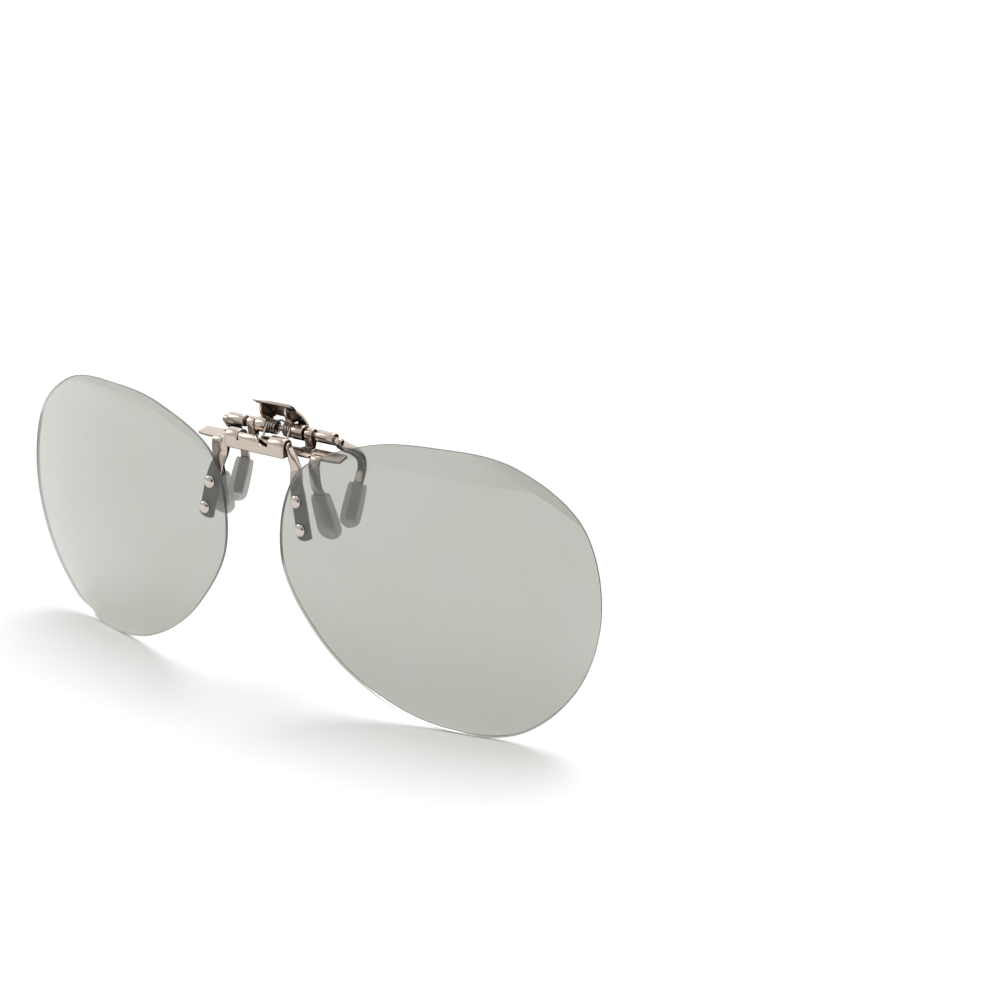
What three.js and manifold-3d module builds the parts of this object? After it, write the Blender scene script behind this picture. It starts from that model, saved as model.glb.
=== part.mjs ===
// Flip-up clip-on sunglasses: two tinted lenses on a flip hinge, carried by a spring clamp that
// grips the bridge of a pair of glasses between soft-sleeved prongs.
//
// Millimetres. +X is the wearer's left (the viewer's right), +Y points back to the wearer, +Z is up.
// The origin is the middle of the clip plate's underside, which rests above the host's bridge.
import * as THREE from "three";
import { mergeVertices } from "three/addons/utils/BufferGeometryUtils.js";
import Module from "manifold-3d";

const wasm = await Module();
wasm.setup();

// ---- Driving dimensions ----

const SHEET = 0.5; // plated steel sheet of the clip plate, rear arms and lever
const FILM = 0.05; // film between pieces that are riveted, brazed or pressed together
const RUNNING = 0.07; // radial play of a turning fit
const ROUND_SIDES = 16; // sides of a round piece

const FLIP_AXIS = new THREE.Vector3(0, -3.5, 2.0); // the lenses flip about this line, along X
const CLAMP_AXIS = new THREE.Vector3(0, 3.1, 2.55); // the rear clip turns about this line, along X

// Flip hinge, measured from the flip axis
const SHAFT_RADIUS = 0.7;
const SHAFT_HALF = 6.12; // half length of the full-diameter shaft
const SHAFT_FLAT = 0.5; // the detent flats stand this far from the axis
const SHAFT_FLAT_HALF = 2.6;
const SPIGOT_RADIUS = 0.42; // reduced end brazed into a lens arm
const SPIGOT_HALF = 6.8;
const HUB_RADIUS = 0.68; // the lens arm's hub, which turns in the mouth of the housing
const HUB_X = [6.2, 6.95];
const HOUSING_HALF = 6.55;
const HOUSING_WALL = 0.42;
const HOUSING_RADIUS = 1.42;
const HOUSING_BOTTOM = -2.0;
const HOUSING_CORNER = 0.45;
const BUSHING_X = [5.4, 6.1]; // the wall inside each end in which the shaft turns

// Lens: a patch of a sphere, wrapped back towards the temple
const LENS_CENTRE = new THREE.Vector3(37.0, -0.8, -20.0); // from the flip axis
const LENS_WRAP = THREE.MathUtils.degToRad(10.5);
const LENS_SPHERE = 120;
const LENS_THICKNESS = 0.65;
const LENS_SEGMENTS = 48;
const LENS_RINGS = 4;
// Outline radius every 30 degrees, from the temple side upwards and round by the nose
const LENS_RADII = [29.0, 29.0, 26.5, 24.5, 26.7, 31.6, 30.4, 26.5, 25.1, 26.3, 29.0, 29.2];

// Lens arm and rivets, from the flip axis
const PLATE_THICKNESS = 0.5;
const PLATE_GAP = 0.12; // between the flat plate and the curved lens
const PLATE_WIDTH = 3.25;
const RIVETS = { upper: [9.75, -8.85], lower: [10.85, -13.7] }; // X, Z
const RIVET_SIDES = 12;
const RIVET_SHANK = 0.6;
const RIVET_HEAD = 1.15;
const RIVET_DOME = 0.45;
const RIVET_UPSET = 0.9;
const RIVET_UPSET_HEIGHT = 0.3;

// Spring clamp, from the clamp axis
const PIN_RADIUS = 0.55;
const PIN_HALF = 11.6;
const KNUCKLE_RADIUS = 1.1;
const LEVER_KNUCKLE_RADIUS = 1.4;
const LEVER_KNUCKLE_X = [2.95, 5.3];
const EAR_X = [5.7, 7.3];
const ARM_KNUCKLE_X = [8.2, 11.9];
const ARM_ROOT_RADIUS = 0.8; // the knuckle's closed outer end, from which the arm leaves
const ARM_ROOT_X = [11.8, 13.4];
const ARM_ROOT_DROP = 0.35;
const WIRE_RADIUS = 0.2;
const COIL_RADIUS = 1.15;
const COIL_X = [0.95, 2.65];
const COIL_TURNS = 3 + 1 / 6; // from the top to the front, where the leg leaves
const ARCH_RISE = 0.3; // of the arch between the coils, above their tops
const LEG_REACH = 1.4; // forward from the coil
const LEG_FALL = 2.35; // down to the clip plate

const X = new THREE.Vector3(1, 0, 0);

// ---- Closed solids and ways to join and cut them ----

function solidOf(geometry) {
  const positions = new THREE.BufferGeometry();
  const flat = geometry.index ? geometry.toNonIndexed() : geometry;
  positions.setAttribute("position", flat.getAttribute("position"));
  const merged = mergeVertices(positions, 1e-4);
  const solid = new wasm.Manifold(
    new wasm.Mesh({
      numProp: 3,
      vertProperties: merged.attributes.position.array,
      triVerts: new Uint32Array(merged.index.array),
    }),
  );
  if (solid.volume() <= 0) throw new Error("a solid's faces point inwards");
  return solid;
}

function geometryOf(solid) {
  const mesh = solid.getMesh();
  const geometry = new THREE.BufferGeometry();
  geometry.setAttribute("position", new THREE.BufferAttribute(mesh.vertProperties, 3));
  geometry.setIndex(new THREE.BufferAttribute(mesh.triVerts, 1));
  geometry.computeVertexNormals();
  return geometry;
}

const join = (...geometries) => geometryOf(geometries.map(solidOf).reduce((a, b) => a.add(b)));
const cut = (geometry, ...tools) =>
  geometryOf(tools.map(solidOf).reduce((a, b) => a.subtract(b), solidOf(geometry)));

function box([x0, x1], [y0, y1], [z0, z1]) {
  const geometry = new THREE.BoxGeometry(x1 - x0, y1 - y0, z1 - z0);
  return geometry.translate((x0 + x1) / 2, (y0 + y1) / 2, (z0 + z1) / 2);
}

// A cylinder along X from x0 to x1, round the line through (y, z)
function rod(radius, [x0, x1], [y, z] = [0, 0]) {
  const geometry = new THREE.CylinderGeometry(radius, radius, x1 - x0, ROUND_SIDES);
  return geometry.rotateZ(Math.PI / 2).translate((x0 + x1) / 2, y, z);
}

// A (Y, Z) shape extruded along X
function prismX(shape, [x0, x1]) {
  const options = { depth: x1 - x0, bevelEnabled: false, curveSegments: 10 };
  const geometry = new THREE.ExtrudeGeometry(shape, options);
  const turn = new THREE.Matrix4().makeBasis(
    new THREE.Vector3(0, 1, 0),
    new THREE.Vector3(0, 0, 1),
    new THREE.Vector3(1, 0, 0),
  );
  return geometry.applyMatrix4(turn).translate(x0, 0, 0);
}

// An (X, Z) shape extruded along Y
function prismY(shape, [y0, y1]) {
  const geometry = new THREE.ExtrudeGeometry(shape, { depth: y1 - y0, bevelEnabled: false });
  return geometry.rotateX(Math.PI / 2).translate(0, y1, 0);
}

const polygon = (points) => new THREE.Shape(points.map(([a, b]) => new THREE.Vector2(a, b)));

// A closed solid through rings of equally many points, with flat ends
function loft(rings) {
  const sides = rings[0].length;
  const positions = rings.flat().flatMap((p) => [p.x, p.y, p.z]);
  const faces = [];
  for (let r = 0; r + 1 < rings.length; r++) {
    for (let i = 0; i < sides; i++) {
      const a = r * sides + i;
      const b = r * sides + ((i + 1) % sides);
      faces.push(a, b, a + sides, b, b + sides, a + sides);
    }
  }
  const last = (rings.length - 1) * sides;
  for (let i = 1; i + 1 < sides; i++) {
    faces.push(0, i + 1, i, last, last + i, last + i + 1);
  }
  const geometry = new THREE.BufferGeometry();
  geometry.setAttribute("position", new THREE.Float32BufferAttribute(positions, 3));
  geometry.setIndex(faces);
  return geometry;
}

// A rounded rectangle of the given width and thickness about the origin, as (across, through) pairs
function roundedSection(width, thickness, corner, perCorner) {
  const points = [];
  const middles = [
    [1, 1],
    [-1, 1],
    [-1, -1],
    [1, -1],
  ];
  middles.forEach(([sx, sy], quarter) => {
    for (let k = 0; k <= perCorner; k++) {
      const angle = ((quarter + k / Math.max(perCorner, 1)) * Math.PI) / 2;
      points.push([
        sx * (width / 2 - corner) + corner * Math.cos(angle),
        sy * (thickness / 2 - corner) + corner * Math.sin(angle),
      ]);
    }
  });
  return points;
}

// A strip through stations [x, y, z, width, thickness], with rounded corners, its width along X
// or along another given direction
function ribbon(stations, { steps = 14, corner = 0.12, perCorner = 1, grow = 0, wide = X } = {}) {
  const path = new THREE.CatmullRomCurve3(stations.map(([x, y, z]) => new THREE.Vector3(x, y, z)));
  const sizes = new THREE.CatmullRomCurve3(
    stations.map(([, , , width, thickness]) => new THREE.Vector3(width, thickness, 0)),
  );
  const rings = [];
  for (let i = 0; i <= steps; i++) {
    const centre = path.getPoint(i / steps);
    const size = sizes.getPoint(i / steps);
    const along = path.getTangent(i / steps);
    const across = wide.clone().addScaledVector(along, -along.dot(wide)).normalize();
    const through = new THREE.Vector3().crossVectors(along, across);
    const section = roundedSection(size.x + 2 * grow, size.y + 2 * grow, corner, perCorner);
    rings.push(
      section.map(([a, t]) =>
        centre.clone().addScaledVector(across, a).addScaledVector(through, t),
      ),
    );
  }
  return loft(rings);
}

// ---- Materials ----

const metal = (color, roughness) =>
  new THREE.MeshStandardMaterial({ color, roughness, metalness: 1 });
const platedSteel = () => metal(0xcfc2b8, 0.22);
const springSteel = () => metal(0xa9a39c, 0.3);
const rivetSteel = () => metal(0xd9d2cc, 0.12);
const smokeLens = () =>
  new THREE.MeshStandardMaterial({
    color: 0x8d938c,
    roughness: 0.05,
    metalness: 0,
    transparent: true,
    opacity: 0.45,
  });
const silicone = () =>
  new THREE.MeshStandardMaterial({
    color: 0xb4b8b6,
    roughness: 0.45,
    metalness: 0,
    transparent: true,
    opacity: 0.7,
  });

function mesh(name, geometry, material) {
  const made = new THREE.Mesh(geometry, material);
  made.name = name;
  return made;
}

// ---- Lens surface ----

// The lens point at u towards the temple and w upwards, at a depth behind the front surface
function lensPoint(u, w, depth) {
  const toCentre = new THREE.Vector3(u, -Math.sqrt(LENS_SPHERE ** 2 - u ** 2 - w ** 2), w);
  toCentre.setLength(LENS_SPHERE - depth).add(new THREE.Vector3(0, LENS_SPHERE, 0));
  return toCentre.applyAxisAngle(new THREE.Vector3(0, 0, 1), LENS_WRAP).add(LENS_CENTRE);
}

// The lens point in front of (x, z), at a depth behind the front surface, and its outward direction
function lensAt([x, z], depth = 0) {
  const w = z - LENS_CENTRE.z;
  let u = (x - LENS_CENTRE.x) / Math.cos(LENS_WRAP);
  for (let i = 0; i < 8; i++) {
    u += x - lensPoint(u, w, depth).x;
  }
  const point = lensPoint(u, w, depth);
  const outward = lensPoint(u, w, depth - 1).sub(point);
  return { point, outward };
}

// A geometry drawn about Y, stood on the lens at (x, z) with +Y pointing out of its front
function standOnLens(geometry, place) {
  const { point, outward } = lensAt(place);
  const turn = new THREE.Quaternion().setFromUnitVectors(new THREE.Vector3(0, 1, 0), outward);
  return geometry.applyQuaternion(turn).translate(point.x, point.y, point.z);
}

// ---- Lens unit, from the flip axis ----

function lensGeometry() {
  const outline = new THREE.CatmullRomCurve3(
    LENS_RADII.map((radius, i) => {
      const angle = (i / LENS_RADII.length) * 2 * Math.PI;
      return new THREE.Vector3(radius * Math.cos(angle), 0, radius * Math.sin(angle));
    }),
    true,
    "centripetal",
  );
  const edge = outline.getSpacedPoints(LENS_SEGMENTS).slice(0, LENS_SEGMENTS).reverse();
  const rings = [];
  const ringAt = (share, depth) => edge.map((p) => lensPoint(p.x * share, p.z * share, depth));
  for (let r = 1; r <= LENS_RINGS; r++) {
    rings.push(ringAt(r / LENS_RINGS, 0));
  }
  for (let r = LENS_RINGS; r >= 1; r--) {
    rings.push(ringAt(r / LENS_RINGS, LENS_THICKNESS));
  }
  return loft(rings);
}

function rivetHole(place) {
  const depth = LENS_THICKNESS + PLATE_THICKNESS + 2;
  const drill = new THREE.CylinderGeometry(RIVET_SHANK + FILM, RIVET_SHANK + FILM, 2 * depth, RIVET_SIDES);
  return standOnLens(drill, place);
}

const lens = () => cut(lensGeometry(), ...Object.values(RIVETS).map(rivetHole));

// A domed head on the lens and an upset end behind the arm's plate
function rivet(place) {
  const plateBack = -(LENS_THICKNESS + PLATE_GAP + PLATE_THICKNESS + FILM);
  const end = plateBack - RIVET_UPSET_HEIGHT;
  const profile = [
    [0, end],
    [RIVET_UPSET * 0.8, end],
    [RIVET_UPSET, end + 0.1],
    [RIVET_UPSET, plateBack],
    [RIVET_SHANK, plateBack],
    [RIVET_SHANK, FILM],
  ];
  const dome = 3;
  for (let i = 0; i <= dome; i++) {
    const angle = (i / dome) * (Math.PI / 2);
    profile.push([RIVET_HEAD * Math.cos(angle), FILM + RIVET_DOME * Math.sin(angle)]);
  }
  const points = profile.map(([r, y]) => new THREE.Vector2(Math.max(r, 0), y));
  points[points.length - 1].x = 0;
  return standOnLens(new THREE.LatheGeometry(points, RIVET_SIDES), place);
}

// A formed bracket: a hub on the shaft's end, a twisting neck and a flat plate behind the lens
function lensArm() {
  const behind = LENS_THICKNESS + PLATE_GAP + PLATE_THICKNESS / 2;
  const { outward } = lensAt(RIVETS.upper);
  const wide = X.clone().addScaledVector(outward, -outward.x);
  const plate = (x, z, width) => {
    const { point } = lensAt([x, z], behind);
    return [point.x, point.y, point.z, width, PLATE_THICKNESS];
  };
  const [upper, lower] = [RIVETS.upper, RIVETS.lower];
  const stations = [
    [6.98, 0.0, -0.15, 0.6, 1.2],
    [7.25, 0.05, -1.1, 1.15, 1.55],
    [7.7, 0.1, -2.2, 1.8, 1.4],
    [8.3, 0.05, -3.8, 2.3, 0.9],
    plate(8.95, -5.8, 2.8),
    plate(...upper, PLATE_WIDTH),
    plate(...lower, PLATE_WIDTH),
    plate(lower[0] + 0.2, lower[1] - 0.6, PLATE_WIDTH),
  ];
  const neck = ribbon(stations, { wide });
  const hub = rod(HUB_RADIUS, HUB_X);
  const tip = new THREE.CylinderGeometry(PLATE_WIDTH / 2, PLATE_WIDTH / 2, PLATE_THICKNESS, ROUND_SIDES);
  tip.translate(0, -behind, 0);
  const rounded = standOnLens(tip, [lower[0] + 0.2, lower[1] - 0.5]);
  const socket = rod(SPIGOT_RADIUS + FILM, [6, SPIGOT_HALF + FILM]);
  return cut(join(neck, hub, rounded), socket, rivetHole(upper), rivetHole(lower));
}

// The shaft has four flats in its middle, which the detent leaf holds in turn
function flipShaft() {
  const flats = [-SHAFT_FLAT, SHAFT_FLAT];
  return join(
    rod(SHAFT_RADIUS, [-SHAFT_HALF, -SHAFT_FLAT_HALF]),
    rod(SHAFT_RADIUS, [SHAFT_FLAT_HALF, SHAFT_HALF]),
    box([-SHAFT_FLAT_HALF - 0.1, SHAFT_FLAT_HALF + 0.1], flats, flats),
    rod(SPIGOT_RADIUS, [-SPIGOT_HALF, SPIGOT_HALF]),
  );
}

// ---- Flip hinge housing, from the flip axis ----

// The tube's outline, or the outline of its inside when inset: round above and square below
function housingSection(inset) {
  const radius = HOUSING_RADIUS - inset;
  const bottom = HOUSING_BOTTOM + inset;
  const corner = Math.max(HOUSING_CORNER - inset, 0.1);
  const shape = new THREE.Shape();
  shape.moveTo(-radius + corner, bottom);
  shape.lineTo(radius - corner, bottom);
  shape.lineTo(radius, bottom + corner);
  shape.lineTo(radius, 0);
  shape.absarc(0, 0, radius, 0, Math.PI, false);
  shape.lineTo(-radius, bottom + corner);
  return shape;
}

// A sheet tube with a bushing in each end: two barrels hold the shaft, and a notch bares it
function housing() {
  const inside = (span) => prismX(housingSection(HOUSING_WALL), span);
  const [bushingFrom, bushingTo] = BUSHING_X;
  const mouth = HOUSING_HALF + 1;
  const notch = polygon([
    [-0.65, 1.6],
    [-0.65, 1.25],
    [0.1, 1.0],
    [0.75, 0.6],
    [1.3, 0.0],
    [1.6, -0.2],
    [3.2, -0.4],
    [3.25, 1.6],
  ]);
  const frontWall = [-2, 0.5];
  const backWall = [0.4, 2];
  const slotX = -3.5;
  const relief = new THREE.CylinderGeometry(0.26, 0.26, 2, 12);
  return cut(
    prismX(housingSection(0), [-HOUSING_HALF, HOUSING_HALF]),
    inside([-bushingFrom, bushingFrom]),
    inside([bushingTo, mouth]),
    inside([-mouth, -bushingTo]),
    rod(SHAFT_RADIUS + RUNNING, [-mouth, mouth]),
    prismY(notch, frontWall),
    box([-0.65, 3.25], backWall, [0.65, 2]),
    box([slotX, -0.1], [-0.8, 2], [-0.3, 2]),
    box([slotX - 0.08, slotX + 0.08], [-2, 0], [0.0, 2]),
    relief.translate(slotX, -1.2, 0.0),
  );
}

// A bowed leaf on the housing's floor, under the shaft's flats
function detentSpring() {
  const half = 5.2;
  const top = -SHAFT_RADIUS - FILM;
  const bow = 0.55;
  const leaf = 0.2;
  const height = (x, offset) => top - bow * (x / half) ** 2 - offset;
  const steps = 12;
  const along = (k) => -half + (2 * half * k) / steps;
  const points = [];
  for (let k = 0; k <= steps; k++) {
    points.push([along(k), height(along(k), leaf)]);
  }
  for (let k = steps; k >= 0; k--) {
    points.push([along(k), height(along(k), 0)]);
  }
  return prismY(polygon(points), [-0.6, 0.6]);
}

// ---- Clip plate and front sleeves, from the origin ----

const PRONG_WIDTH = 2.2;
const PRONG_TOP = [11.4, -0.8, -7.0]; // where the prong enters its sleeve
const PRONG_END = [12.08, 0.48, -13.0];

function prongStations() {
  return [
    [11.1, -0.4, 0.25, PRONG_WIDTH, SHEET],
    [11.1, -1.3, 0.15, PRONG_WIDTH, SHEET],
    [11.0, -1.8, -0.6, PRONG_WIDTH, SHEET],
    [11.0, -1.85, -2.4, PRONG_WIDTH, SHEET],
    [11.05, -1.5, -4.8, PRONG_WIDTH, SHEET],
    [...PRONG_TOP, PRONG_WIDTH, SHEET],
    [...PRONG_END, PRONG_WIDTH, SHEET],
  ];
}

function clipPlate() {
  const wingProfile = polygon([
    [-1.35, -0.1],
    [0.2, 0.0],
    [1.4, 0.3],
    [1.4, 0.8],
    [0.2, 0.5],
    [-1.35, 0.4],
  ]);
  const pinAt = [CLAMP_AXIS.y, CLAMP_AXIS.z];
  const ear = polygon([
    [1.0, 0.0],
    [3.2, 0.0],
    [4.15, 2.3],
    [2.05, 2.8],
    [2.4, SHEET],
    [1.0, SHEET],
  ]);
  const bridge = box([-9.8, 9.8], [-2.02, 1.4], [0, SHEET]);
  const sides = [-1, 1].flatMap((side) => {
    const span = ([from, to]) => (side > 0 ? [from, to] : [-to, -from]);
    const prong = ribbon(prongStations());
    return [
      prismX(wingProfile, span([9.0, 15.9])),
      prismX(ear, span(EAR_X)),
      rod(KNUCKLE_RADIUS, span(EAR_X), pinAt),
      side > 0 ? prong : mirrored(prong),
    ];
  });
  return cut(join(bridge, ...sides), rod(PIN_RADIUS + RUNNING, [-20, 20], pinAt));
}

function mirrored(geometry) {
  const flipped = geometry.clone().scale(-1, 1, 1);
  const index = flipped.index.array;
  for (let i = 0; i < index.length; i += 3) {
    [index[i], index[i + 1]] = [index[i + 1], index[i]];
  }
  return flipped;
}

// A soft sock on the end of a prong: straight, a little wider at its rounded foot
function sleeve(from, to, prong, [topWidth, footWidth], thickness) {
  const start = new THREE.Vector3(...from);
  const end = new THREE.Vector3(...to);
  const at = (share) => start.clone().lerp(end, share).toArray();
  const station = (share, widthShare, thicknessShare = widthShare) => [
    ...at(share),
    THREE.MathUtils.lerp(topWidth, footWidth, share) * widthShare,
    thickness * thicknessShare,
  ];
  const rings = [
    station(0, 0.9),
    station(0.04, 1),
    station(0.3, 1),
    station(0.6, 1),
    station(0.8, 1),
    station(0.92, 0.93, 1),
    station(0.98, 0.75, 0.85),
    station(1.0, 0.5, 0.6),
  ];
  const body = ribbon(rings, { steps: 12, corner: 0.45, perCorner: 1 });
  return cut(body, ribbon(prong, { grow: FILM }));
}

function frontSleeve() {
  return sleeve([11.36, -0.88, -6.6], [12.5, 0.92, -15.05], prongStations(), [3.4, 4.7], 2.0);
}

// ---- Spring clamp, from the clamp axis ----

const REAR_WIDTH = 1.9;

// A stout bar where it leaves the hinge, flattened to sheet where it enters its sleeve
function rearArmStations() {
  return [
    [12.6, 0.2, -0.7, 1.5, 1.6],
    [13.1, 1.3, -1.5, 1.5, 1.8],
    [13.6, 2.9, -2.45, 1.5, 1.7],
    [13.9, 4.4, -4.0, 1.5, 1.5],
    [13.7, 5.1, -6.15, 1.6, 1.1],
    [13.2, 5.0, -8.15, 1.8, 0.7],
    [13.0, 4.7, -9.35, REAR_WIDTH, SHEET],
    [13.0, 2.2, -15.15, REAR_WIDTH, SHEET],
  ];
}

function rearArm() {
  const knuckle = rod(KNUCKLE_RADIUS, ARM_KNUCKLE_X);
  const root = rod(ARM_ROOT_RADIUS, ARM_ROOT_X, [0, -ARM_ROOT_DROP]);
  const strip = ribbon(rearArmStations(), { steps: 18 });
  return cut(join(knuckle, root, strip), rod(PIN_RADIUS + FILM, [0, PIN_HALF + FILM]));
}

function rearSleeve() {
  return sleeve([13.0, 4.75, -9.15], [13.0, 1.6, -16.55], rearArmStations(), [3.2, 3.5], 2.0);
}

const hingePin = () => rod(PIN_RADIUS, [-PIN_HALF, PIN_HALF]);

// A channel that rises from two knuckles and leans forward over the hinge: a curved plate with
// a cheek along each side and a wider lip to press
function thumbLever() {
  const plate = ribbon(
    [
      [0, 1.15, 0.0, 10.4, SHEET],
      [0, 1.0, 1.5, 10.0, SHEET],
      [0, 0.45, 2.8, 8.8, SHEET],
      [0, -0.75, 4.1, 7.4, SHEET],
      [0, -1.9, 4.9, 8.5, SHEET],
      [0, -2.85, 5.35, 8.6, SHEET],
    ],
    { steps: 15 },
  );
  const cheek = polygon([
    [-2.0, 2.0],
    [-1.2, 1.5],
    [1.0, 1.6],
    [0.6, 2.7],
    [-0.7, 4.05],
    [-2.1, 4.9],
    [-2.5, 4.3],
    [-2.5, 3.3],
  ]);
  const cheekX = [2.55, 3.05];
  const [inner, outer] = LEVER_KNUCKLE_X;
  const windowHalf = 2.3;
  const windowTop = 2.1;
  const clearsCoils = 1.55;
  return cut(
    join(
      cut(
        plate,
        box([-windowHalf, windowHalf], [-1, 3], [-1, windowTop]),
        box([-inner, inner], [-1, 3], [-1, clearsCoils]),
      ),
      rod(LEVER_KNUCKLE_RADIUS, [inner, outer]),
      rod(LEVER_KNUCKLE_RADIUS, [-outer, -inner]),
      prismX(cheek, cheekX),
      prismX(cheek, cheekX.map((x) => -x).reverse()),
    ),
    rod(PIN_RADIUS + FILM, [-20, 20]),
  );
}

// Two coils joined by an arch under the lever, with a leg from each coil down to the clip plate
class SpringPath extends THREE.Curve {
  getPoint(t, target = new THREE.Vector3()) {
    const [inner, outer] = COIL_X;
    const half = Math.abs(2 * t - 1); // 0 in the middle of the arch, 1 at a leg's tip
    const side = t < 0.5 ? -1 : 1;
    const archShare = 0.12;
    const legShare = 0.88;
    const turn = 2 * Math.PI * COIL_TURNS;
    const wind = THREE.MathUtils.clamp((half - archShare) / (legShare - archShare), 0, 1);
    const angle = Math.PI / 2 + wind * turn;
    const point = target.set(
      inner + (outer - inner) * wind,
      COIL_RADIUS * Math.cos(angle),
      COIL_RADIUS * Math.sin(angle),
    );
    if (half < archShare) {
      const share = half / archShare;
      point.set(inner * share, 0, COIL_RADIUS + ARCH_RISE * (1 - share ** 2));
    }
    if (half > legShare) {
      const share = (half - legShare) / (1 - legShare);
      point.y -= LEG_REACH * share;
      point.z -= LEG_FALL * share;
    }
    point.x *= side;
    return point;
  }
}

function torsionSpring() {
  const section = new THREE.Shape();
  section.absarc(0, 0, WIRE_RADIUS, 0, 2 * Math.PI, false);
  return new THREE.ExtrudeGeometry(section, {
    steps: 96,
    curveSegments: 3,
    bevelEnabled: false,
    extrudePath: new SpringPath(),
  });
}

// ---- Assembly ----

// Adds the piece on the wearer's left and its mirror image on the right
function addPair(group, name, geometry, material) {
  const right = new THREE.Group();
  right.scale.x = -1;
  right.add(mesh("right_" + name, geometry, material()));
  group.add(mesh("left_" + name, geometry, material()), right);
}

function lensUnit() {
  const unit = new THREE.Group();
  unit.add(mesh("flip_shaft", flipShaft(), platedSteel()));
  addPair(unit, "lens", lens(), smokeLens);
  addPair(unit, "lens_arm", lensArm(), platedSteel);
  for (const [level, place] of Object.entries(RIVETS)) {
    addPair(unit, level + "_rivet", rivet(place), rivetSteel);
  }
  return unit;
}

function flipHinge() {
  const hinge = new THREE.Group();
  hinge.position.copy(FLIP_AXIS);
  hinge.add(
    mesh("flip_hinge_housing", housing(), platedSteel()),
    mesh("flip_detent_spring", detentSpring(), springSteel()),
    lensUnit(),
  );
  return hinge;
}

function springClamp() {
  const clamp = new THREE.Group();
  clamp.position.copy(CLAMP_AXIS);
  clamp.add(
    mesh("main_hinge_pin", hingePin(), platedSteel()),
    mesh("clamp_torsion_spring", torsionSpring(), springSteel()),
    mesh("thumb_lever", thumbLever(), platedSteel()),
  );
  addPair(clamp, "rear_arm", rearArm(), platedSteel);
  addPair(clamp, "rear_sleeve", rearSleeve(), silicone);
  return clamp;
}

const clipOn = new THREE.Group();
clipOn.add(mesh("front_clip_plate", clipPlate(), platedSteel()));
addPair(clipOn, "front_sleeve", frontSleeve(), silicone);
clipOn.add(flipHinge(), springClamp());

export default clipOn;
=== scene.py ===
import math

import bmesh
import bpy
from mathutils import Matrix, Vector

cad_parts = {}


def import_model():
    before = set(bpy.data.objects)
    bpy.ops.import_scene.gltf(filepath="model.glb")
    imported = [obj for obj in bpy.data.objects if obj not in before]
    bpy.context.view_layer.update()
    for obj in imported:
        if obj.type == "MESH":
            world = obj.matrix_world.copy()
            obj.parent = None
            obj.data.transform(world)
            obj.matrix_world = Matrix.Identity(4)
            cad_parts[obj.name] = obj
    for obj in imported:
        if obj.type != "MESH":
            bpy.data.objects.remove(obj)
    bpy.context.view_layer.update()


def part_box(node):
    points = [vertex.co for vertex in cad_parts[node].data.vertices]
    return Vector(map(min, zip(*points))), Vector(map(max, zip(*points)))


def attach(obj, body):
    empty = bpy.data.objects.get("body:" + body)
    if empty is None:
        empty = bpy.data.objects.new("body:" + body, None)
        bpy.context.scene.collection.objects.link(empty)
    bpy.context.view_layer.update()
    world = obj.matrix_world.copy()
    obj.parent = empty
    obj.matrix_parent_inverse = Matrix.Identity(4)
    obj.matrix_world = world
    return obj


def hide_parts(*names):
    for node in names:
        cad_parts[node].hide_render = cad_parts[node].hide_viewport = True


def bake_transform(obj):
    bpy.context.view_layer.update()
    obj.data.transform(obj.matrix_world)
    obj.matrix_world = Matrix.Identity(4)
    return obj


# Flip-up clip-on sunglasses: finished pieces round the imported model, a studio and a camera.
# Shapes are drawn in millimetres and placed in metres. +X is the wearer's left, +Y points back
# to the wearer, +Z is up, and the origin is the middle of the clip plate's underside.

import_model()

# ---- Dimensions, in millimetres ----

METRE = 0.001
SHEET = 0.5
FLIP_AXIS = Vector((0, -3.5, 2.0))
CLAMP_AXIS = Vector((0, 3.1, 2.55))

SHAFT_RADIUS = 0.7
SHAFT_PLAY = 0.07
SHAFT_HALF = 6.12
SHAFT_FLAT = 0.5
SHAFT_FLAT_HALF = 2.6
SPIGOT_RADIUS = 0.42
SPIGOT_HALF = 6.85
HUB_RADIUS = 0.7
HUB_X = (6.2, 6.98)
HOUSING_HALF = 6.55
HOUSING_RADIUS = 1.42
HOUSING_WALL = 0.42
HOUSING_BOTTOM = -2.0
HOUSING_CORNER = 0.45
BUSHING_X = (5.4, 6.1)

LENS_CENTRE = Vector((37.0, -0.8, -20.0))
LENS_WRAP = math.radians(10.5)
LENS_SPHERE = 120
LENS_THICKNESS = 0.65
LENS_RADII = (29.0, 29.0, 26.5, 24.5, 26.7, 31.6, 30.4, 26.5, 25.1, 26.3, 29.0, 29.2)
LENS_EDGE_ROUND = 0.1

PLATE_THICKNESS = 0.5
PLATE_GAP = 0.12
PLATE_WIDTH = 3.25
UPPER_RIVET = (9.75, -8.85)
LOWER_RIVET = (10.85, -13.7)
RIVET_HEAD = 1.15
RIVET_DOME = 0.5
RIVET_UPSET = 0.9

PIN_RADIUS = 0.55
KNUCKLE_RADIUS = 1.1
LEVER_KNUCKLE_RADIUS = 1.4
LEVER_KNUCKLE_X = (2.95, 5.3)
EAR_X = (5.7, 7.3)
ARM_KNUCKLE_X = (8.2, 11.9)
ARM_ROOT_RADIUS = 0.8
ARM_ROOT_X = (11.7, 13.4)
WIRE_RADIUS = 0.2
COIL_RADIUS = 1.15
COIL_X = (0.95, 2.65)
COIL_TURNS = 3 + 1 / 6
ARCH_RISE = 0.3
LEG_REACH = 1.4
LEG_FALL = 2.35
PRONG_WIDTH = 2.2
REAR_WIDTH = 1.9

X_AXIS = Vector((1, 0, 0))
Y_AXIS = Vector((0, 1, 0))


# ---- Curves ----


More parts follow.
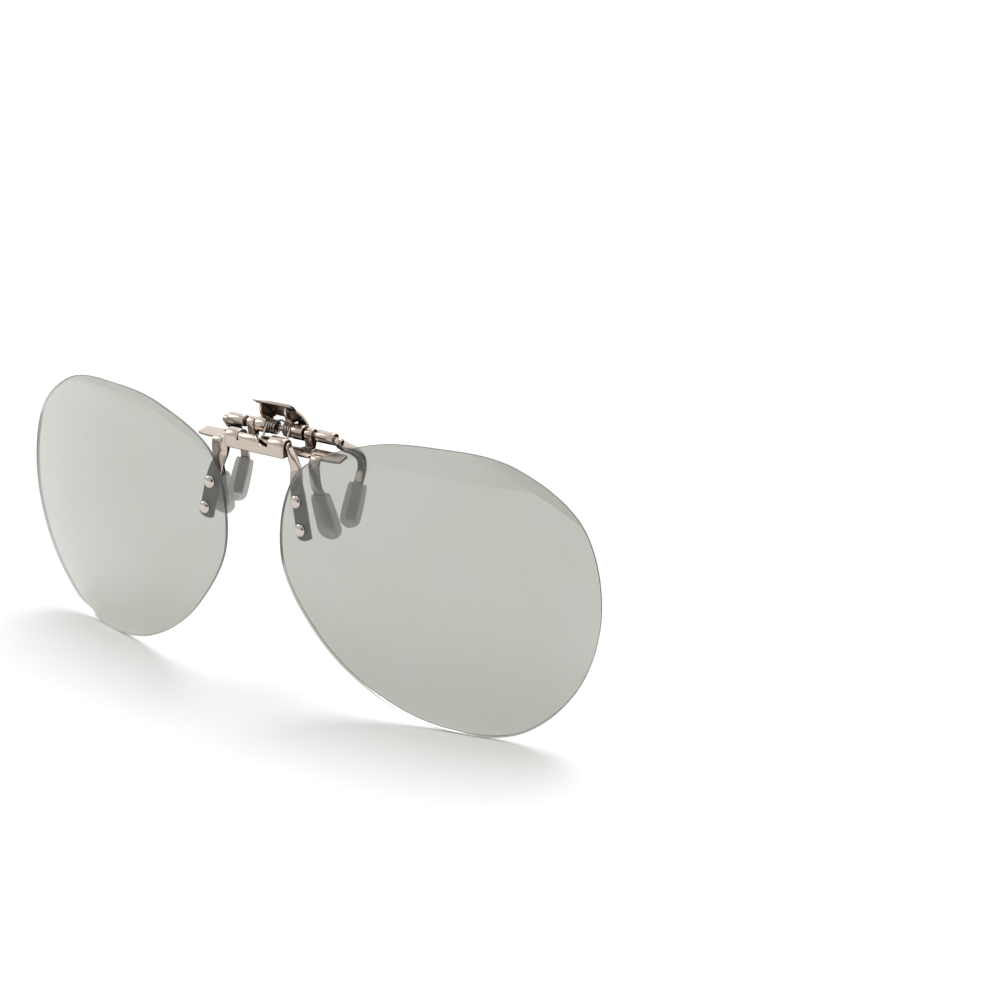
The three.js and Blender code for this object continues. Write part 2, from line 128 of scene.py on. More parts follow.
def spline(points, t, closed=False):
    """The point at t, from 0 to 1, on a centripetal Catmull-Rom curve through points."""
    points = [Vector(p) for p in points]
    count = len(points)
    spans = count if closed else count - 1
    place = min(t * spans, spans - 1e-9)
    first = int(place)
    share = place - first
    if closed:
        p0, p1, p2, p3 = (points[(first + k) % count] for k in (-1, 0, 1, 2))
    else:
        p1, p2 = points[first], points[first + 1]
        p0 = points[first - 1] if first > 0 else 2 * p1 - p2
        p3 = points[first + 2] if first + 2 < count else 2 * p2 - p1
    gap0, gap1, gap2 = (
        max((b - a).length ** 0.5, 1e-4) for a, b in ((p0, p1), (p1, p2), (p2, p3))
    )
    leave = ((p1 - p0) / gap0 - (p2 - p0) / (gap0 + gap1) + (p2 - p1) / gap1) * gap1
    arrive = ((p2 - p1) / gap1 - (p3 - p1) / (gap1 + gap2) + (p3 - p2) / gap2) * gap1
    return (
        p1
        + share * leave
        + share**2 * (3 * (p2 - p1) - 2 * leave - arrive)
        + share**3 * (2 * (p1 - p2) + leave + arrive)
    )


def arc(centre, radius, start, end, steps):
    """Points (a, b) on a circle from one angle to another, in degrees."""
    angles = [math.radians(start + (end - start) * k / steps) for k in range(steps + 1)]
    return [(centre[0] + radius * math.cos(a), centre[1] + radius * math.sin(a)) for a in angles]


def rounded_section(width, thickness, corner, per_corner=4):
    """A rounded rectangle about the origin, as (across, through) pairs."""
    corner = min(corner, width / 2 - 1e-3, thickness / 2 - 1e-3)
    half_a, half_t = width / 2 - corner, thickness / 2 - corner
    points = []
    for quarter, (sa, st) in enumerate(((1, 1), (-1, 1), (-1, -1), (1, -1))):
        centre = (sa * half_a, st * half_t)
        points += arc(centre, corner, 90 * quarter, 90 * quarter + 90, per_corner)
    return points


# ---- Meshes, in millimetres ----


def mesh_of(vertices, faces):
    mesh = bpy.data.meshes.new("shape")
    mesh.from_pydata([tuple(v) for v in vertices], [], faces)
    return outward(mesh)


def outward(mesh):
    """The mesh with doubled points merged and its faces turned outwards."""
    work = bmesh.new()
    work.from_mesh(mesh)
    bmesh.ops.remove_doubles(work, verts=work.verts, dist=1e-5)
    bmesh.ops.recalc_face_normals(work, faces=work.faces)
    work.to_mesh(mesh)
    work.free()
    return mesh


def loft(rings):
    """A closed solid through rings of equally many points, with flat ends."""
    sides = len(rings[0])
    vertices = [p for ring in rings for p in ring]
    faces = [tuple(range(sides)), tuple(range(len(vertices) - sides, len(vertices)))]
    for r in range(len(rings) - 1):
        for i in range(sides):
            a, b = r * sides + i, r * sides + (i + 1) % sides
            faces.append((a, b, b + sides, a + sides))
    return mesh_of(vertices, faces)


def lathe(profile, segments=48, matrix=Matrix.Identity(4)):
    """A solid turned about X from (x, radius) pairs, then placed by the matrix."""
    rings = []
    for x, radius in profile:
        ring = [(x, radius * c, radius * s) for c, s in arc((0, 0), 1, 0, 360, segments)[:-1]]
        rings.append([matrix @ Vector(p) for p in ring])
    return loft(rings)


def rod(radius, span, centre=(0, 0), edge=0.08, segments=48):
    """A cylinder along X with eased ends, round the line through (y, z)."""
    x0, x1 = span
    rise = arc((x0 + edge, radius - edge), edge, 180, 90, 3)
    fall = arc((x1 - edge, radius - edge), edge, 90, 0, 3)
    return lathe(rise + fall, segments, Matrix.Translation((0, *centre)))


def prism(outline, span, axis):
    """An outline extruded along X, with (y, z) points, or along Y, with (x, z) points."""
    place = (lambda a, b, c: (c, a, b)) if axis == "X" else (lambda a, b, c: (a, c, b))
    return loft([[Vector(place(a, b, c)) for a, b in outline] for c in span])


def block(xs, ys, zs):
    return prism([(ys[0], zs[0]), (ys[1], zs[0]), (ys[1], zs[1]), (ys[0], zs[1])], xs, "X")


def ribbon(stations, steps=48, corner=0.12, wide=X_AXIS, corner_share=0.0, round_end=False):
    """A strip through stations (x, y, z, width, thickness), its width along one direction.

    Its corners have a radius of corner, or a share of its smaller side where that is more.
    """
    rings = []
    places = [s[:3] for s in stations]
    sizes = [(s[3], s[4], 0) for s in stations]
    shares = [k / steps for k in range(steps + 1)]
    length = sum((Vector(b) - Vector(a)).length for a, b in zip(places, places[1:]))
    for share in shares:
        centre = spline(places, share)
        ahead = spline(places, min(share + 1e-3, 1)) - spline(places, max(share - 1e-3, 0))
        ahead.normalize()
        across = (wide - ahead * ahead.dot(wide)).normalized()
        through = ahead.cross(across)
        width, thickness, _ = spline(sizes, share)
        from_end = (1 - share) * length
        if round_end and from_end < width / 2:
            width *= max(math.sqrt(1 - (1 - 2 * from_end / width) ** 2), 0.12)
        radius = max(corner, corner_share * min(width, thickness))
        section = rounded_section(width, thickness, radius)
        rings.append([centre + across * a + through * t for a, t in section])
    return loft(rings)


def evaluated(mesh, *modifiers):
    """The mesh after modifiers, each given as (type, settings)."""
    holder = bpy.data.objects.new("holder", mesh)
    bpy.context.scene.collection.objects.link(holder)
    for kind, settings in modifiers:
        modifier = holder.modifiers.new(kind.lower(), kind)
        for key, value in settings.items():
            setattr(modifier, key, value)
    bpy.context.view_layer.update()
    depsgraph = bpy.context.evaluated_depsgraph_get()
    result = bpy.data.meshes.new_from_object(holder.evaluated_get(depsgraph), depsgraph=depsgraph)
    bpy.data.objects.remove(holder)
    return result


def boolean(mesh, tools, operation):
    for tool in tools:
        helper = bpy.data.objects.new("tool", tool)
        bpy.context.scene.collection.objects.link(helper)
        settings = {"object": helper, "operation": operation, "solver": "EXACT"}
        mesh = evaluated(mesh, ("BOOLEAN", settings))
        bpy.data.objects.remove(helper)
    return mesh


def cut(mesh, *tools):
    return boolean(mesh, tools, "DIFFERENCE")


def fuse(mesh, *others):
    return boolean(mesh, others, "UNION")


def eased(mesh, width=0.06, segments=2, angle=35):
    """The mesh with its sharp edges rounded."""
    settings = {
        "width": width,
        "segments": segments,
        "limit_method": "ANGLE",
        "angle_limit": math.radians(angle),
        "use_clamp_overlap": True,
    }
    return evaluated(mesh, ("BEVEL", settings))


def merged(*meshes):
    """One mesh that holds several."""
    work = bmesh.new()
    for mesh in meshes:
        work.from_mesh(mesh)
    result = bpy.data.meshes.new("shape")
    work.to_mesh(result)
    work.free()
    return result


def moved(mesh, offset):
    result = mesh.copy()
    result.transform(Matrix.Translation(offset))
    return result


def mirrored(mesh):
    result = mesh.copy()
    result.transform(Matrix.Scale(-1, 4, X_AXIS))
    result.flip_normals()
    return result


# ---- Materials ----

# Sizes in the node trees are in millimetres: each tree scales object coordinates by this.
PER_METRE = 1000


class Tree:
    """A node tree of a material or the world, with short calls to add and link nodes."""

    def __init__(self, owner, output="ShaderNodeOutputMaterial"):
        self.owner = owner
        owner.use_nodes = True
        self.nodes = owner.node_tree.nodes
        self.links = owner.node_tree.links
        self.nodes.clear()
        self.output = self.nodes.new(output)
        self.coordinates = self.nodes.new("ShaderNodeTexCoord")
        scale = self.add("ShaderNodeVectorMath", operation="SCALE")
        self.links.new(self.coordinates.outputs["Object"], scale.inputs[0])
        scale.inputs["Scale"].default_value = PER_METRE
        self.place = scale.outputs[0]

    def add(self, kind, inputs=None, **settings):
        made = self.nodes.new(kind)
        for key, value in settings.items():
            setattr(made, key, value)
        for key, value in (inputs or {}).items():
            socket = made.inputs[key]
            if isinstance(value, bpy.types.NodeSocket):
                self.links.new(value, socket)
            else:
                socket.default_value = value
        return made

    def noise(self, scale, detail=2.0, roughness=0.5, stretch=None):
        place = self.place
        if stretch:
            place = self.add("ShaderNodeMapping", {"Vector": place, "Scale": stretch}).outputs[0]
        inputs = {"Vector": place, "Scale": scale, "Detail": detail, "Roughness": roughness}
        return self.add("ShaderNodeTexNoise", inputs).outputs["Fac"]

    def spread(self, value, low, high, from_low=0.3, from_high=0.7, smooth=False):
        """Maps a value from one range to another, clamped at both ends."""
        inputs = {
            "Value": value,
            "From Min": from_low,
            "From Max": from_high,
            "To Min": low,
            "To Max": high,
        }
        interpolation = "SMOOTHSTEP" if smooth else "LINEAR"
        made = self.add("ShaderNodeMapRange", inputs, interpolation_type=interpolation)
        return made.outputs[0]

    def mix_colour(self, share, first, second):
        made = self.add("ShaderNodeMix", data_type="RGBA")
        for index, value in ((0, share), (6, first), (7, second)):
            if isinstance(value, bpy.types.NodeSocket):
                self.links.new(value, made.inputs[index])
            else:
                made.inputs[index].default_value = value
        return made.outputs[2]

    def maths(self, operation, first, second=0.0):
        made = self.add("ShaderNodeMath", {0: first, 1: second}, operation=operation)
        return made.outputs[0]

    def mix_shader(self, share, first, second):
        return self.add("ShaderNodeMixShader", {0: share, 1: first, 2: second}).outputs[0]

    def finish(self, shader):
        self.links.new(shader, self.output.inputs["Surface"])
        return self.owner


def material_tree(name):
    return Tree(bpy.data.materials.new(name))


def rgb(red, green, blue):
    return (red, green, blue, 1.0)


def metal(name, colour, shade, roughness, texture=0.01, edge=0.07):
    """Polished plate: faint ripple, fine rub marks, painted shade darkening the crevices, softened
    edges.
    """
    tree = material_tree(name)
    ripple = tree.noise(1.6, detail=3.0)
    grain = tree.noise(9.0, detail=4.0, roughness=0.65)
    rubs = tree.noise(3.0, detail=6.0, roughness=0.7, stretch=(0.35, 4.0, 4.0))
    # Painted shade: ambient occlusion darkens the colour towards near black in crevices and
    # between parts.
    crevice = tree.add("ShaderNodeAmbientOcclusion", {"Distance": 0.9 * METRE}, samples=8)
    painted_shade_share = tree.spread(crevice.outputs["AO"], 1.0, 0.0, 0.25, 0.95)
    tint = tree.mix_colour(tree.spread(ripple, 0.0, 1.0), colour, shade)
    crevice_shaded_tint = tree.mix_colour(tree.maths("MULTIPLY", painted_shade_share, 0.8), tint, rgb(0.035, 0.028, 0.024))
    rough = tree.maths("ADD", tree.spread(rubs, -0.04, 0.06), tree.spread(grain, -0.02, 0.03))
    soft = tree.add("ShaderNodeBevel", {"Radius": edge * METRE}, samples=6)
    height = tree.maths("ADD", ripple, tree.maths("MULTIPLY", grain, 0.15))
    bump = tree.add(
        "ShaderNodeBump",
        {
            "Strength": 0.35,
            "Distance": texture * METRE,
            "Height": height,
            "Normal": soft.outputs[0],
        },
    )
    shader = tree.add(
        "ShaderNodeBsdfPrincipled",
        {
            "Base Color": crevice_shaded_tint,
            "Metallic": 1.0,
            "Roughness": tree.maths("ADD", rough, roughness),
            "Normal": bump.outputs[0],
        },
    )
    return tree.finish(shader.outputs[0])


def lens_face():
    """Tinted film of a lens: what is behind shows through, darkened, under a clear reflection."""
    tree = material_tree("tinted_lens")
    facing = tree.add("ShaderNodeNewGeometry").outputs["Backfacing"]
    outside = tree.maths("SUBTRACT", 1.0, facing)
    fresnel = tree.add("ShaderNodeFresnel", {"IOR": 1.62}).outputs[0]
    sheen = tree.maths("MULTIPLY", tree.maths("MULTIPLY", fresnel, outside), 1.5)
    cloud = tree.noise(0.05, detail=1.0)
    tint = tree.mix_colour(
        tree.spread(cloud, 0.0, 1.0), rgb(0.66, 0.663, 0.63), rgb(0.67, 0.673, 0.645)
    )
    clear = tree.add("ShaderNodeBsdfTransparent", {"Color": tint}).outputs[0]
    ripple = tree.noise(0.12, detail=2.0)
    bump = tree.add(
        "ShaderNodeBump", {"Strength": 0.1, "Distance": 0.02 * METRE, "Height": ripple}
    ).outputs[0]
    smear = tree.spread(tree.noise(0.25, detail=4.0), 0.02, 0.07)
    gloss = tree.add(
        "ShaderNodeBsdfGlossy",
        {"Color": rgb(0.95, 0.98, 0.96), "Roughness": smear, "Normal": bump},
    ).outputs[0]
    haze = tree.add("ShaderNodeBsdfDiffuse", {"Color": rgb(0.62, 0.64, 0.62)}).outputs[0]
    dust = tree.spread(tree.noise(14.0, detail=2.0), 0.0, 0.25, 0.68, 0.8)
    film = tree.maths("MULTIPLY", outside, tree.maths("ADD", dust, 0.015))
    body = tree.mix_shader(film, clear, haze)
    return tree.finish(tree.mix_shader(sheen, body, gloss))


def lens_edge():
    """The ground and polished rim, which looks darker because it is seen through its width."""
    tree = material_tree("tinted_lens_rim")
    fresnel = tree.add("ShaderNodeFresnel", {"IOR": 1.62}).outputs[0]
    grind = tree.noise(5.0, detail=3.0, stretch=(1.0, 5.0, 1.0))
    tint = tree.mix_colour(grind, rgb(0.24, 0.25, 0.235), rgb(0.36, 0.37, 0.35))
    clear = tree.add("ShaderNodeBsdfTransparent", {"Color": tint}).outputs[0]
    body = tree.add("ShaderNodeBsdfDiffuse", {"Color": rgb(0.17, 0.175, 0.165)}).outputs[0]
    rough = tree.spread(grind, 0.12, 0.25)
    gloss = tree.add("ShaderNodeBsdfGlossy", {"Roughness": rough}).outputs[0]
    return tree.finish(tree.mix_shader(fresnel, tree.mix_shader(0.45, clear, body), gloss))


def silicone():
    """Frosted soft rubber: cloudy, see-through in the middle and paler towards its edges."""
    tree = material_tree("frosted_silicone")
    rim = tree.add("ShaderNodeLayerWeight", {"Blend": 0.35}).outputs["Facing"]
    cloud = tree.noise(0.9, detail=3.0)
    matt = tree.noise(12.0, detail=3.0)
    colour = tree.mix_colour(
        tree.spread(cloud, 0.0, 1.0), rgb(0.53, 0.535, 0.52), rgb(0.57, 0.575, 0.56)
    )
    bump = tree.add(
        "ShaderNodeBump", {"Strength": 0.5, "Distance": 0.01 * METRE, "Height": matt}
    ).outputs[0]
    skin = tree.add(
        "ShaderNodeBsdfPrincipled",
        {
            "Base Color": colour,
            "Roughness": tree.spread(matt, 0.34, 0.46),
            "Normal": bump,
            "Subsurface Weight": 0.35,
            "Subsurface Scale": 0.8 * METRE,
            "IOR": 1.41,
        },
    ).outputs[0]
    clear = tree.add("ShaderNodeBsdfTransparent", {"Color": rgb(0.87, 0.87, 0.855)}).outputs[0]
    body = tree.spread(rim, 0.45, 0.92, 0.0, 0.8)
    return tree.finish(tree.mix_shader(body, clear, skin))


PLATED = metal("plated_steel", rgb(0.55, 0.475, 0.415), rgb(0.50, 0.43, 0.375), 0.17)
SPRING = metal("spring_steel", rgb(0.50, 0.45, 0.41), rgb(0.42, 0.38, 0.35), 0.2, edge=0.03)
RIVET = metal("rivet_steel", rgb(0.58, 0.52, 0.475), rgb(0.54, 0.48, 0.44), 0.08, texture=0.004)
LENS = lens_face()
LENS_RIM = lens_edge()
SILICONE = silicone()

# ---- Pieces ----

SMOOTH_ANGLE = math.radians(40)  # edges sharper than this stay sharp


def piece(name, mesh, body, slot, materials, replaces=()):
    """Places a mesh as a named piece on a body, in place of CAD nodes."""
    mesh.transform(Matrix.Scale(METRE, 4))
    mesh.name = name
    if not mesh.materials:
        for material in materials:
            mesh.materials.append(material)
    mesh.polygons.foreach_set("use_smooth", [True] * len(mesh.polygons))
    mesh.set_sharp_from_angle(angle=SMOOTH_ANGLE)
    made = bpy.data.objects.new(name, mesh)
    bpy.context.scene.collection.objects.link(made)
    if isinstance(body, str):
        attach(made, body)
    if replaces:
        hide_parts(*replaces)
    return made


def pair(name, mesh, body, slot, materials):
    """The piece on the wearer's left and its mirror image on the right."""
    for side, shape in (("left", mesh), ("right", mirrored(mesh))):
        node = f"{side}_{name}"
        piece(f"{node}_finish", shape, body, slot, materials, (node,))


# ---- Lens unit, from the flip axis ----


def lens_point(u, w, depth):
    """The lens point at u towards the temple and w upwards, at a depth behind the front."""
    to_centre = Vector((u, -math.sqrt(LENS_SPHERE**2 - u**2 - w**2), w))
    to_centre.length = LENS_SPHERE - depth
    to_centre.y += LENS_SPHERE
    return Matrix.Rotation(LENS_WRAP, 3, "Z") @ to_centre + LENS_CENTRE


def lens_at(x, z, depth=0.0):
    """The lens point in front of (x, z), and the outward direction there."""
    w = z - LENS_CENTRE.z
    u = (x - LENS_CENTRE.x) / math.cos(LENS_WRAP)
    for _ in range(8):
        u += x - lens_point(u, w, depth).x
    point = lens_point(u, w, depth)
    return point, lens_point(u, w, depth - 1) - point


def lens_outline(count):
    """Evenly spaced points (u, w) round the lens."""
    knots = []
    for i, radius in enumerate(LENS_RADII):
        angle = 2 * math.pi * i / len(LENS_RADII)
        knots.append((radius * math.cos(angle), radius * math.sin(angle), 0))
    fine_steps = 1440
    fine = [spline(knots, k / fine_steps, closed=True) for k in range(fine_steps)]
    travelled = [0.0]
    for a, b in zip(fine, fine[1:] + fine[:1]):
        travelled.append(travelled[-1] + (b - a).length)
    points = []
    at = 0
    for k in range(count):
        wanted = travelled[-1] * k / count
        while travelled[at + 1] < wanted:
            at += 1
        points.append(fine[at])
    return points


def lens():
    """A curved blank with a rounded, polished rim; rim faces carry the second material."""
    edge = lens_outline(240)
    rings = []
    shares = [0.02] + [k / 14 for k in range(1, 14)]
    back = LENS_THICKNESS - LENS_EDGE_ROUND

    def ring(share, inset, depth):
        points = []
        for p in edge:
            scale = share * (1 - inset / p.length)
            points.append(lens_point(p.x * scale, p.y * scale, depth))
        return points

    for share in shares:
        rings.append(ring(share, 0, 0))
    rim_start = len(rings)
    for inset, depth in arc((LENS_EDGE_ROUND, LENS_EDGE_ROUND), LENS_EDGE_ROUND, -90, -180, 4):
        rings.append(ring(1, inset, depth))
    for inset, depth in arc((LENS_EDGE_ROUND, back), LENS_EDGE_ROUND, 180, 90, 4):
        rings.append(ring(1, inset, depth))
    rim_end = len(rings) - 1
    for share in reversed(shares):
        rings.append(ring(share, 0, LENS_THICKNESS))
    mesh = loft(rings)
    sides = len(edge)
    mesh.materials.append(LENS)
    mesh.materials.append(LENS_RIM)
    for face in mesh.polygons:
        levels = {v // sides for v in face.vertices}
        if rim_start <= min(levels) and max(levels) <= rim_end:
            face.material_index = 1
    return mesh


def on_lens(x, z):
    """A matrix that stands a shape drawn about X on the lens, with +X pointing out."""
    point, out = lens_at(x, z)
    turn = X_AXIS.rotation_difference(out).to_matrix().to_4x4()
    return Matrix.Translation(point) @ turn


def rivet(place):
    """A domed head with a fine step at its foot, a shank and an upset end behind."""
    back = -(LENS_THICKNESS + PLATE_GAP + PLATE_THICKNESS)
    profile = [(back - 0.34, 0.02)]
    profile += [(back - 0.34, RIVET_UPSET - 0.3), (back - 0.26, RIVET_UPSET - 0.06)]
    profile += [(back - 0.14, RIVET_UPSET), (back + 0.02, RIVET_UPSET - 0.02)]
    profile += [(back + 0.02, 0.6), (-0.02, 0.6), (-0.02, RIVET_HEAD - 0.03)]
    profile += [(0.06, RIVET_HEAD)]
    for k in range(1, 12):
        angle = k / 12 * math.pi / 2
        profile.append((0.06 + RIVET_DOME * math.sin(angle), RIVET_HEAD * math.cos(angle)))
    profile.append((0.06 + RIVET_DOME, 0.01))
    return lathe(profile, 48, on_lens(*place))


def lens_arm():
    """A formed bracket: a hub on the shaft's end, a twisting neck and a flat plate."""
    behind = LENS_THICKNESS + PLATE_GAP + PLATE_THICKNESS / 2
    out = lens_at(*UPPER_RIVET)[1]
    wide = X_AXIS - out * out.x

    def plate(x, z, width):
        point = lens_at(x, z, behind)[0]
        return (*point, width, PLATE_THICKNESS)

    (upper_x, upper_z), (lower_x, lower_z) = UPPER_RIVET, LOWER_RIVET
    stations = [
        (6.98, 0.0, -0.15, 0.6, 1.2),
        (7.25, 0.05, -1.1, 1.15, 1.55),
        (7.7, 0.1, -2.2, 1.8, 1.4),
        (8.3, 0.05, -3.8, 2.3, 0.9),
        plate(8.95, -5.8, 2.8),
        plate(upper_x, upper_z, PLATE_WIDTH),
        plate(lower_x, lower_z, PLATE_WIDTH),
        plate(lower_x + 0.3, lower_z - 1.2, PLATE_WIDTH),
        plate(lower_x + 0.5, lower_z - 2.1, PLATE_WIDTH),
    ]
    neck = ribbon(stations, 110, 0.1, wide, corner_share=0.45, round_end=True)
    hub = rod(HUB_RADIUS, HUB_X, edge=0.12)
    return merged(neck, hub)


def flip_shaft():
    """A turned shaft with four flats in its middle and reduced ends."""
    flats = (-SHAFT_FLAT, SHAFT_FLAT)
    span = (-SHAFT_FLAT_HALF - 0.1, SHAFT_FLAT_HALF + 0.1)
    return merged(
        rod(SHAFT_RADIUS, (-SHAFT_HALF, -SHAFT_FLAT_HALF)),
        rod(SHAFT_RADIUS, (SHAFT_FLAT_HALF, SHAFT_HALF)),
        eased(block(span, flats, flats), 0.08),
        rod(SPIGOT_RADIUS, (-SPIGOT_HALF, SPIGOT_HALF), edge=0.05),
    )


# ---- Flip hinge housing, from the flip axis ----


def housing_section(inset, corner):
    """The (y, z) outline: a round top, straight sides and rounded lower corners."""
    radius = HOUSING_RADIUS - inset
    bottom = HOUSING_BOTTOM + inset
    left = arc((-radius + corner, bottom + corner), corner, 180, 270, 5)
    right = arc((radius - corner, bottom + corner), corner, 270, 360, 5)
    return left + right + arc((0, 0), radius, 0, 180, 28)


def housing():
    """A sheet tube: two barrels, a lowered wall, a notch that bares the shaft, a relief slot."""

    def inside(span):
        return prism(housing_section(HOUSING_WALL, 0.12), span, "X")

    bushing_from, bushing_to = BUSHING_X
    mouth = HOUSING_HALF + 1
    outside = prism(housing_section(0, HOUSING_CORNER), (-HOUSING_HALF, HOUSING_HALF), "X")
    tube = cut(
        eased(outside, 0.34, 4, 60),
        inside((-bushing_from, bushing_from)),
        inside((bushing_to, mouth)),
        inside((-mouth, -bushing_to)),
        rod(SHAFT_RADIUS + SHAFT_PLAY, (-mouth, mouth)),
    )
    notch = [(-0.65, 1.6), (-0.65, 1.3), (-0.5, 1.2), (0.1, 1.0), (0.75, 0.6), (1.05, 0.25)]
    notch += [(1.3, 0.0), (1.6, -0.2), (2.2, -0.35), (3.2, -0.4), (3.25, 1.6)]
    slot = -3.5
    relief = lathe([(-3, 0.26), (0, 0.26)], 24, Matrix.Rotation(math.pi / 2, 4, "Z"))
    return eased(
        cut(
            tube,
            prism(notch, (-2, 0.5), "Y"),
            block((-0.65, 3.25), (0.4, 2), (0.65, 2)),
            block((slot, -0.1), (-0.8, 2), (-0.3, 2)),
            block((slot - 0.08, slot + 0.08), (-2, 0), (0.0, 2)),
            moved(relief, (slot, 0.2, 0.0)),
        ),
        0.05,
    )


def detent_spring():
    """A bowed leaf under the shaft's flats."""
    half, bow, leaf = 5.2, 0.55, 0.2
    top = -SHAFT_RADIUS - 0.05
    stations = []
    for k in range(9):
        x = -half + half * k / 4
        stations.append((x, 0, top - leaf / 2 - bow * (x / half) ** 2, 1.2, leaf))
    return ribbon(stations, steps=40, corner=0.06, wide=Y_AXIS)


# ---- Clip plate and front sleeves, from the origin ----

PRONG = (
    (11.1, -0.4, 0.25, PRONG_WIDTH, SHEET),
    (11.1, -1.3, 0.15, PRONG_WIDTH, SHEET),
    (11.0, -1.8, -0.6, PRONG_WIDTH, SHEET),
    (11.0, -1.85, -2.4, PRONG_WIDTH, SHEET),
    (11.05, -1.5, -4.8, PRONG_WIDTH, SHEET),
    (11.4, -0.8, -7.0, PRONG_WIDTH, SHEET),
    (12.08, 0.48, -13.0, PRONG_WIDTH, SHEET),
)


def wing():
    """The plate's rounded end, turned up a little at its back edge."""
    slope = Vector((0, 2.75, 0.6)).normalized()
    stations = [
        (9.0, 0.02, 0.32, 2.8, SHEET),
        (11.0, 0.02, 0.32, 2.8, SHEET),
        (13.5, 0.02, 0.33, 2.8, SHEET),
        (15.2, 0.06, 0.35, 2.7, SHEET),
        (15.9, 0.12, 0.37, 2.4, SHEET),
    ]
    return ribbon(stations, steps=36, corner=0.1, wide=slope)


def clip_plate():
    """The stamped plate: a strip, two wings, two bent prongs and two ears for the pin."""
    pin_at = (CLAMP_AXIS.y, CLAMP_AXIS.z)
    tab = [(1.0, 0.0), (3.2, 0.0), (4.15, 2.3), (2.05, 2.8), (2.4, SHEET), (1.0, SHEET)]
    strip = eased(block((-9.8, 9.8), (-2.02, 1.4), (0, SHEET)), 0.1, 3)
    bore = rod(PIN_RADIUS + 0.07, (-20, 20), pin_at)
    ear = cut(fuse(prism(tab, EAR_X, "X"), rod(KNUCKLE_RADIUS, EAR_X, pin_at)), bore)
    side = [wing(), ribbon(PRONG, steps=60, corner=0.12), eased(ear, 0.1, 3)]
    return merged(strip, *side, *[mirrored(mesh) for mesh in side])


def sleeve(start, end, top_width, foot_width, thickness, prong_share, belly=0.0):
    """A soft sock: a collar with a pocket for the prong, fuller towards its rounded foot."""
    start, end = Vector(start), Vector(end)
    ahead = (end - start).normalized()
    across = (X_AXIS - ahead * ahead.x).normalized()
    through = ahead.cross(across)
    length = (end - start).length
    rings = []

    def ring(along, width, depth, corner):
        centre = start + ahead * along
        section = rounded_section(width, depth, corner, 8)
        rings.append([centre + across * a + through * t for a, t in section])

    pocket_depth = length * prong_share
    ring(pocket_depth, PRONG_WIDTH * 0.98, SHEET * 1.3, 0.2)
    for share in (0.6, 0.2, 0.03):
        ring(pocket_depth * share, PRONG_WIDTH * 1.02, SHEET * 1.45, 0.2)
    ring(0.0, PRONG_WIDTH * 1.06, SHEET * 1.7, 0.25)
    ring(-0.02, top_width * 0.93, thickness * 0.9, 0.5)
    steps = 26
    for k in range(steps + 1):
        share = k / steps
        along = length * share
        swell = math.sin(math.pi * min(share * 1.02, 1)) ** 0.7
        width = (top_width + (foot_width - top_width) * share**0.8) * (1 + belly * swell)
        collar = 1 - 0.05 * math.exp(-share * 30)
        foot = length - along
        radius = foot_width * 0.5
        end_shape = math.sqrt(max(1 - (1 - foot / radius) ** 2, 0.0)) if foot < radius else 1.0
        end_shape = max(end_shape, 0.08)
        depth = thickness * (0.92 + 0.08 * swell)
        ring(along + 0.05, width * collar * end_shape, depth * collar * end_shape**0.75, 0.5)
    return loft(rings)


def front_sleeve():
    start, end = (11.36, -0.88, -6.6), (12.5, 0.92, -15.05)
    return sleeve(start, end, 3.4, 4.7, 2.0, 0.75)


# ---- Spring clamp, from the clamp axis ----

REAR_STRIP = (
    (12.6, 0.2, -0.7, 1.5, 1.6),
    (13.1, 1.3, -1.5, 1.5, 1.8),
    (13.6, 2.9, -2.45, 1.5, 1.7),
    (13.9, 4.4, -4.0, 1.5, 1.5),
    (13.7, 5.1, -6.15, 1.6, 1.1),
    (13.2, 5.0, -8.15, 1.8, 0.7),
    (13.0, 4.7, -9.35, REAR_WIDTH, SHEET),
    (13.0, 2.2, -15.15, REAR_WIDTH, SHEET),
)


def rolled_knuckle(radius, span, groove_at=None):
    """A barrel rolled from sheet, with the roll's seam along its back."""
    inner, outer = span
    seam = block((inner - 1, outer + 1), (radius - 0.35, 2), (-0.62, -0.5))
    tools = [seam]
    if groove_at is not None:
        groove = block((-0.12, 0.12), (-2, 2), (0.45, 2))
        groove.transform(Matrix.Rotation(math.radians(-42), 4, "Z"))
        tools.append(moved(groove, (groove_at, 0, 0)))
    return eased(cut(rod(radius, span, edge=0.14), *tools), 0.05)


def rear_arm():
    knuckle = rolled_knuckle(KNUCKLE_RADIUS, ARM_KNUCKLE_X, 8.75)
    root = rod(ARM_ROOT_RADIUS, ARM_ROOT_X, (0, -0.35), edge=0.4)
    strip = ribbon(REAR_STRIP, steps=90, corner_share=0.36)
    return merged(knuckle, root, strip)


def rear_sleeve():
    start, end = (13.0, 4.75, -9.15), (13.0, 1.6, -16.55)
    return sleeve(start, end, 3.2, 3.5, 2.0, 0.8, belly=0.08)


def hinge_pin():
    return rod(PIN_RADIUS, (-11.6, 11.6))


